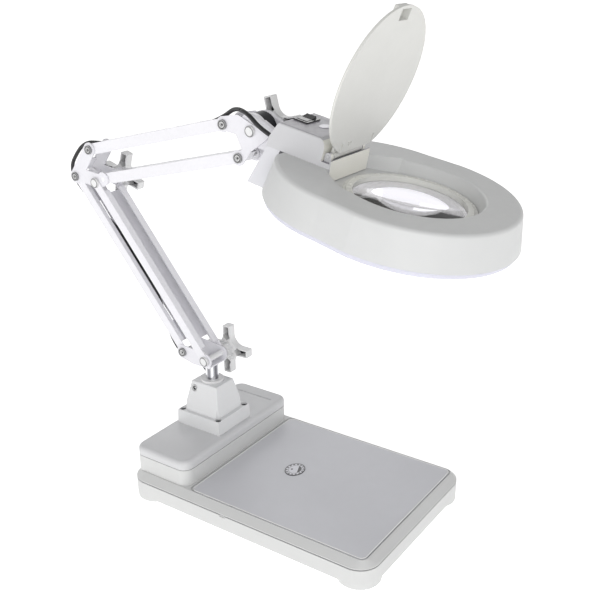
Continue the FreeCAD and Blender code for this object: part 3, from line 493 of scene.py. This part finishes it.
OWN_FINISH = {
    "rear_box_lid": moulded("lid_moulding", (0.600, 0.602, 0.610), 0.42, 1.0, 0.035),
    "neck_badge": moulded("oval_label", (0.66, 0.64, 0.70), 0.3, 0.2, 0.03, 0.3),
    "lens_barrel": moulded("barrel_moulding", (0.70, 0.70, 0.67), 0.35, 0.3, 0.03, 0.3),
    "lens_ring": moulded("ring_moulding", (0.72, 0.72, 0.68), 0.28, 0.3, 0.03, 0.4),
    "pedestal": moulded("pedestal_moulding", (0.690, 0.694, 0.700), 0.42, 0.6),
    "pedestal_screws": metal("flange_screws", (0.07, 0.07, 0.075), 0.4),
}

# Each head: node, radius, rings, metallic share, whether the upper screw is the rear one
HEADS = (("lock_screw", PINCH_SCREW_R, PINCH_RINGS, 0.9, True),
         ("lower_pivot_screw", PIVOT_SCREW_R, PIVOT_RINGS, 0.9, True),
         ("elbow_pivot_screws", PIVOT_SCREW_R, PIVOT_RINGS, 0.9, False),
         ("head_pivot_screws", PIVOT_SCREW_R, PIVOT_RINGS, 0.9, True),
         ("lower_clamp_bolt", CLAMP_BOLT_R, BOLT_RINGS, 0.0, True),
         ("elbow_clamp_bolt", CLAMP_BOLT_R, BOLT_RINGS, 0.0, True),
         ("tilt_bolt", CLAMP_BOLT_R, BOLT_RINGS, 0.0, True))
for screw, reach, rings, metallic, rising in HEADS:
    OWN_FINISH[screw] = turned(screw + "_head", screw_centres(screw, reach * MM, rising),
                               reach * MM, rings, metallic)

for part in frame["record"]["subparts"]:
    node = frame["nodes"][part["node"]]
    node.data.materials.clear()
    node.data.materials.append(OWN_FINISH.get(part["node"], FINISH[part["material_slot"]]))


# ------------------------------------------------------------------ cable

def cable_route():
    """The route's corners, as the CAD lays them, in metres."""
    flat = [(132.0, 100.0), (132.0, 146.0), (180.0, 149.0), (200.5, 173.5)]
    flat += [polar(A0, LOWER_ANGLE, u, v) for u, v in ((66, -7), (92, 0), (180, 0), (206, -7))]
    flat += [(343.4, 351.0), (366.5, 379.8), (345.0, 409.0), (328.0, 420.0)]
    flat += [polar(C1, UPPER_ANGLE, u, v) for u, v in ((1, -6.6), (26, -1.4), (176, -1.4),
                                                       (202, -4.2), (223, -8.6))]
    route = [place(0.0, y, z) for y, z in flat]
    route += [place(*p) for p in ((-6.1, 73.3, 489.2), (-20.6, 44.8, 487.6),
                                  (-24.5, 24.5, 472.4))]
    route.append(head_point(-26.0, 158.0, 5.4))
    return route


def smooth_line(points):
    """Points along the NURBS curve that has the route's corners as control points."""
    curve = bpy.data.curves.new("cable_line", "CURVE")
    curve.dimensions = "3D"
    curve.resolution_u = 14
    spline = curve.splines.new("NURBS")
    spline.points.add(len(points) - 1)
    for slot, p in zip(spline.points, points):
        slot.co = (*p, 1.0)
    spline.order_u = 3
    spline.use_endpoint_u = True
    carrier = bpy.data.objects.new("cable_line", curve)
    bpy.context.scene.collection.objects.link(carrier)
    mesh = bpy.data.meshes.new_from_object(carrier)
    line = [v.co.copy() for v in mesh.vertices]
    bpy.data.objects.remove(carrier)
    bpy.data.meshes.remove(mesh)
    return line


def ring_of_points(bm, centre, side, up, radius, sides):
    turns = (2 * math.pi * j / sides for j in range(sides))
    return [bm.verts.new(centre + (side * math.cos(a) + up * math.sin(a)) * radius)
            for a in turns]


def join_rings(bm, rings):
    for a, b in zip(rings, rings[1:]):
        for j in range(len(a)):
            k = (j + 1) % len(a)
            bm.faces.new((a[j], a[k], b[k], b[j])).smooth = True


def tube_mesh(name, line, radius):
    """Closed round tube that follows a line, its rings carried along without twist."""
    mesh = bpy.data.meshes.new(name)
    bm = bmesh.new()
    rings = []
    side = None
    for k, here in enumerate(line):
        ahead = (line[min(k + 1, len(line) - 1)] - line[max(k - 1, 0)]).normalized()
        if side is None:
            side = ahead.orthogonal().normalized()
        side = (side - ahead * side.dot(ahead)).normalized()
        rings.append(ring_of_points(bm, here, side, ahead.cross(side), radius, 16))
    join_rings(bm, rings)
    bm.faces.new(list(reversed(rings[0])))
    bm.faces.new(rings[-1])
    bmesh.ops.recalc_face_normals(bm, faces=bm.faces)
    bm.to_mesh(mesh)
    bm.free()
    return mesh


def add_piece(name, mesh, material):
    piece = bpy.data.objects.new(name, mesh)
    bpy.context.scene.collection.objects.link(piece)
    mesh.materials.append(material)
    return piece


# Each stretch: CAD node, its first and last leg of the route, the bodies that hold its ends
CABLE = [("cable_at_post", 0, 4, "swivel", "lower_rear"),
         ("cable_in_lower_bar", 4, 7, "lower_rear", None),
         ("cable_elbow_start", 7, 9, "lower_rear", "elbow"),
         ("cable_elbow_end", 9, 12, "elbow", "upper_top"),
         ("cable_in_upper_bar", 12, 14, "upper_top", None),
         ("cable_head_start", 14, 17, "upper_top", "head_bracket"),
         ("cable_head_end", 17, 19, "head_bracket", "head")]


def build_cable():
    route = cable_route()
    line = smooth_line(route)
    middles = [(a + b) / 2 for a, b in zip(route, route[1:])]

    def index_near(p):
        return min(range(len(line)), key=lambda k: (line[k] - p).length)

    for name, first, last, body, far in CABLE:
        start = 0 if first == 0 else index_near(middles[first])
        stop = len(line) - 1 if last == len(middles) - 1 else index_near(middles[last])
        stretch = line[start:stop + 1]
        piece = add_piece(name + "_sheath", tube_mesh(name + "_sheath", stretch, CABLE_R * MM),
                          FINISH["cable"])
        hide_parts(name)
        if far is None:
            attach(piece, body)
            continue
        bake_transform(piece)


build_cable()


# ------------------------------------------------------------------ trim

def rounded_loop(hx, y0, y1, z, r):
    """Points of a rounded rectangle about the base's middle line."""
    steps = 8
    loop = []
    for cx, cy, turn in ((hx - r, y1 - r, 0), (r - hx, y1 - r, 90), (r - hx, y0 + r, 180),
                         (hx - r, y0 + r, 270)):
        for k in range(steps + 1):
            a = math.radians(turn + 90 * k / steps)
            loop.append(place(cx + r * math.cos(a), cy + r * math.sin(a), z))
    return loop


def closed_bead(name, loop, radius, material, body):
    """Thin bead that runs once round a closed, level loop."""
    mesh = bpy.data.meshes.new(name)
    bm = bmesh.new()
    rings = []
    count = len(loop)
    for k, here in enumerate(loop):
        ahead = (loop[(k + 1) % count] - loop[k - 1]).normalized()
        side = ahead.cross(UP).normalized()
        rings.append(ring_of_points(bm, here, side, UP, radius, 8))
    join_rings(bm, rings + rings[:1])
    bmesh.ops.recalc_face_normals(bm, faces=bm.faces)
    bm.to_mesh(mesh)
    bm.free()
    piece = add_piece(name, mesh, material)
    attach(piece, body)


# The bead's light colour is a painted highlight on a real raised lip.
closed_bead("panel_edge_bead",
            rounded_loop(BEAD_HALF_WIDTH, BEAD_FRONT_Y, BEAD_REAR_Y, BEAD_Z, BEAD_CORNER),
            BEAD_R * MM, moulded("panel_bead", (0.80, 0.80, 0.79), 0.35, 0.3), "base")


# ------------------------------------------------------------------ stage

def add_floor():
    bpy.ops.mesh.primitive_plane_add(size=FLOOR_SIZE, location=(0, 0, -0.0002))
    floor = bpy.context.object
    floor.name = "floor"
    n = Nodes("pale_floor")
    grain = n.noise(600.0, 2.0, 0.5)
    tone = n.mix(n.remap(n.noise(3.0, 2.0, 0.5), 0.3, 0.7, 0.0, 1.0), (0.93, 0.93, 0.93),
                 (0.95, 0.95, 0.95))
    n.set(Base_Color=tone, Roughness=0.7, Normal=n.bump(grain, 0.03, 0.0001),
          Emission_Color=(1.0, 1.0, 1.0), Emission_Strength=FLOOR_GLOW)
    floor.data.materials.append(n.material)


def add_world():
    """Pale surround, brighter at the horizon than overhead."""
    world = bpy.data.worlds.new("surround")
    bpy.context.scene.world = world
    world.use_nodes = True
    tree = world.node_tree
    place_node = tree.nodes.new("ShaderNodeTexCoord")
    parts = tree.nodes.new("ShaderNodeSeparateXYZ")
    height = tree.nodes.new("ShaderNodeMapRange")
    height.inputs["From Min"].default_value = 0.0
    height.inputs["From Max"].default_value = 0.9
    height.inputs["To Min"].default_value = HORIZON_LIGHT
    height.inputs["To Max"].default_value = OVERHEAD_LIGHT
    tree.links.new(place_node.outputs["Generated"], parts.inputs[0])
    tree.links.new(parts.outputs[2], height.inputs["Value"])
    sky = tree.nodes["Background"]
    sky.inputs["Color"].default_value = (1.0, 1.0, 1.0, 1.0)
    tree.links.new(height.outputs["Result"], sky.inputs["Strength"])


def add_light(name, location, target, size, power):
    data = bpy.data.lights.new(name, "AREA")
    data.shape = "RECTANGLE"
    data.size, data.size_y = size
    data.energy = power
    lamp = bpy.data.objects.new(name, data)
    bpy.context.scene.collection.objects.link(lamp)
    lamp.location = location
    lamp.rotation_euler = (Vector(target) - Vector(location)).to_track_quat("-Z", "Y").to_euler()


def add_camera():
    data = bpy.data.cameras.new("camera")
    camera = bpy.data.objects.new("camera", data)
    bpy.context.scene.collection.objects.link(camera)
    yaw, pitch, roll = (math.radians(v) for v in (CAMERA_YAW, CAMERA_PITCH, CAMERA_ROLL))
    ahead = Vector((math.cos(yaw) * math.cos(pitch), math.sin(yaw) * math.cos(pitch),
                    -math.sin(pitch)))
    right = Vector((math.sin(yaw), -math.cos(yaw), 0.0))
    up = right.cross(ahead)
    turned_right = right * math.cos(roll) + up * math.sin(roll)
    turned_up = up * math.cos(roll) - right * math.sin(roll)
    basis = Matrix((turned_right, turned_up, -ahead)).transposed().to_4x4()
    camera.matrix_world = Matrix.Translation(place(*CAMERA_AT)) @ basis
    data.sensor_width = 36.0
    data.lens = CAMERA_LENS
    data.clip_start, data.clip_end = 0.05, 300.0
    bpy.context.scene.camera = camera


add_floor()
add_world()
for light in LIGHTS:
    add_light(*light)
add_camera()
bpy.context.scene.view_settings.view_transform = "Standard"
